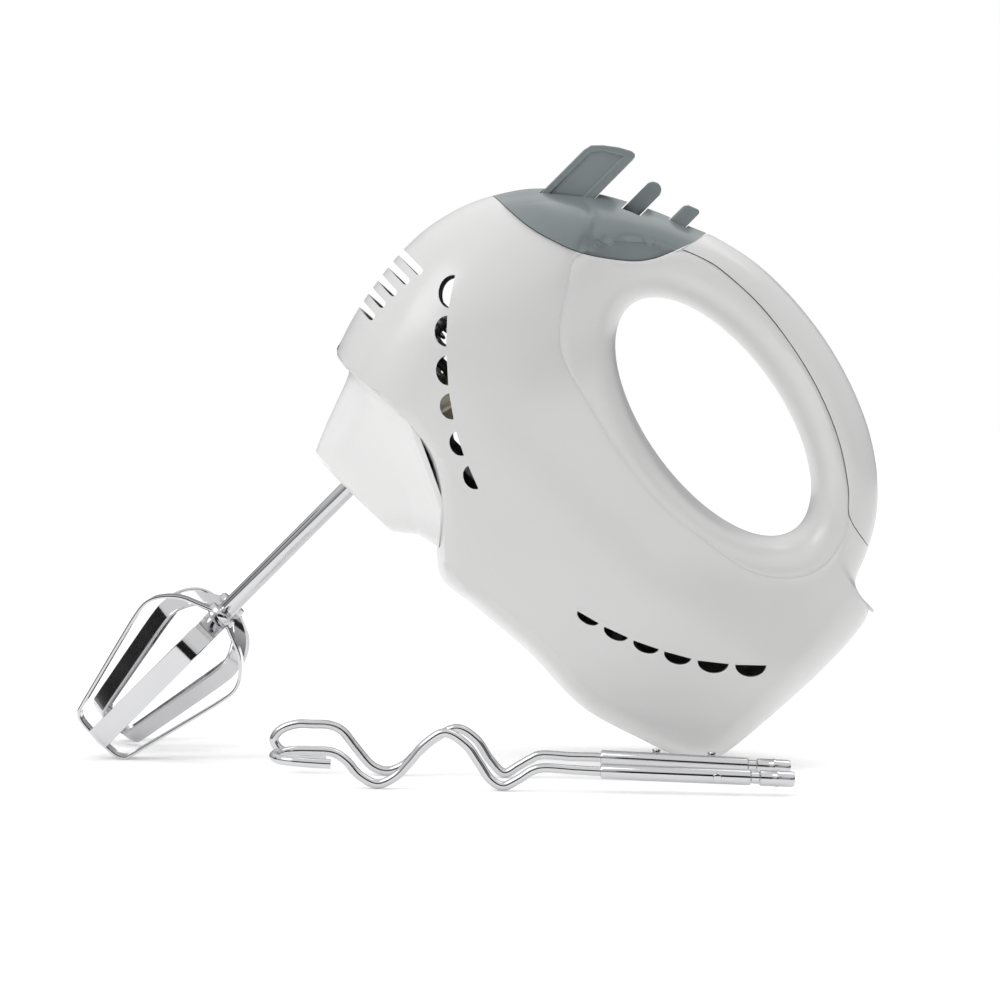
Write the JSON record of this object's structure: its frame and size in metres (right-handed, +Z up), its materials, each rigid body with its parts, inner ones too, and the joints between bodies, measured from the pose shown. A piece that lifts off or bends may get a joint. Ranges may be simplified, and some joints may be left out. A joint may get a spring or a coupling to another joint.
{
  "type": "hand mixer",
  "caption": "Hand mixer with loop handle, motor, worm drive to two wire beaters, eject and speed controls, leaning on heel and beaters beside its kneading hooks",
  "frame": {"origin": "centre of the bounding box's base, on the surface that the mixer and its hooks stand on", "axes": "+X to the mixer's heel, +Y across from the hooks to the mixer's right side, +Z up"},
  "size_m": [0.2838, 0.1465, 0.2202],
  "materials": {
    "white_plastic": "satin white moulded plastic",
    "grey_plastic": "satin blue-grey moulded plastic",
    "black_plastic": "matte black moulded plastic",
    "chromed_steel": "bright chrome plate",
    "steel": "turned steel",
    "nylon": "natural nylon",
    "bronze": "sintered bronze",
    "copper": "varnished copper",
    "lamination": "stacked sheet steel",
    "carbon": "pressed carbon",
    "zinc": "plain die casting"
  },
  "bodies": {
    "housing": {"housing_left": "white_plastic", "housing_right": "white_plastic", "handle_cover": "white_plastic", "snout_cover": "white_plastic", "control_cap": "grey_plastic", "cord_gland": "white_plastic", "rear_bearing_plate": "black_plastic", "gear_cover": "black_plastic", "speed_switch": "black_plastic", "turbo_switch": "black_plastic", "terminal_block": "black_plastic", "housing_screw_1": "steel", "housing_screw_2": "steel", "housing_screw_3": "steel", "housing_screw_4": "steel", "housing_screw_5": "steel", "spindle_bush_left": "bronze", "spindle_bush_right": "bronze", "bearing_nose": "bronze", "bearing_front": "bronze", "bearing_rear": "bronze", "brush_holder_left": "bronze", "brush_holder_right": "bronze", "carbon_brush_left": "carbon", "carbon_brush_right": "carbon", "field_coil_upper": "copper", "field_coil_lower": "copper", "stator_core": "lamination", "gear_frame": "zinc", "eject_spring": "steel"},
    "armature": {"armature_shaft": "steel", "armature_core": "lamination", "armature_winding_front": "copper", "armature_winding_rear": "copper", "commutator": "copper", "cooling_fan": "black_plastic"},
    "spindle_left": {"worm_wheel_left": "nylon"},
    "spindle_right": {"worm_wheel_right": "nylon"},
    "beater_left": {"beater_shaft_left": "chromed_steel", "beater_cage_left": "chromed_steel"},
    "beater_right": {"beater_shaft_right": "chromed_steel", "beater_cage_right": "chromed_steel"},
    "eject": {"eject_button": "grey_plastic", "eject_yoke": "zinc"},
    "speed": {"speed_lever": "grey_plastic"},
    "turbo": {"turbo_button": "grey_plastic"},
    "hook_near": {"hook_sleeve_near": "chromed_steel", "hook_rod_near": "chromed_steel"},
    "hook_far": {"hook_sleeve_far": "chromed_steel", "hook_rod_far": "chromed_steel"}
  },
  "joints": [
    {"name": "motor_spin", "type": "hinge", "parent": "housing", "child": "armature", "pos_m": [-0.01545, 0.0291, 0.13035], "axis": [0.7193, 0, -0.6947], "continuous": true},
    {"name": "spindle_left_spin", "type": "hinge", "parent": "housing", "child": "spindle_left", "pos_m": [-0.01545, 0.0076, 0.13035], "axis": [0.6947, 0, 0.7193], "continuous": true},
    {"name": "spindle_right_spin", "type": "hinge", "parent": "housing", "child": "spindle_right", "pos_m": [-0.01545, 0.0506, 0.13035], "axis": [0.6947, 0, 0.7193], "continuous": true},
    {"name": "eject_press", "type": "slide", "parent": "housing", "child": "eject", "axis": [-0.6947, 0, -0.7193], "range_m": [0, 0.006], "stiffness_N_per_m": 1000, "springref_m": -0.004, "deforming": ["eject_spring"]},
    {"name": "beater_left_out", "type": "slide", "parent": "spindle_left", "child": "beater_left", "axis": [-0.6947, 0, -0.7193], "range_m": [0, 0.006]},
    {"name": "beater_right_out", "type": "slide", "parent": "spindle_right", "child": "beater_right", "axis": [-0.6947, 0, -0.7193], "range_m": [0, 0.006]},
    {"name": "speed_slide", "type": "slide", "parent": "housing", "child": "speed", "axis": [0, 1, 0], "range_m": [-0.008, 0.008]},
    {"name": "turbo_press", "type": "slide", "parent": "housing", "child": "turbo", "axis": [-0.6947, 0, -0.7193], "range_m": [0, 0.0022], "stiffness_N_per_m": 400, "springref_m": -0.001},
    {"name": "hook_near_lift", "type": "slide", "parent": "housing", "child": "hook_near", "axis": [0, 0, 1], "range_m": [0, 0.15]},
    {"name": "hook_far_lift", "type": "slide", "parent": "housing", "child": "hook_far", "axis": [0, 0, 1], "range_m": [0, 0.02]}
  ],
  "couplings": [
    {"joint": "spindle_left_spin", "follows": "motor_spin", "ratio": 0.041667},
    {"joint": "spindle_right_spin", "follows": "motor_spin", "ratio": -0.041667},
    {"joint": "beater_left_out", "follows": "eject_press", "ratio": 1},
    {"joint": "beater_right_out", "follows": "eject_press", "ratio": 1}
  ]
}
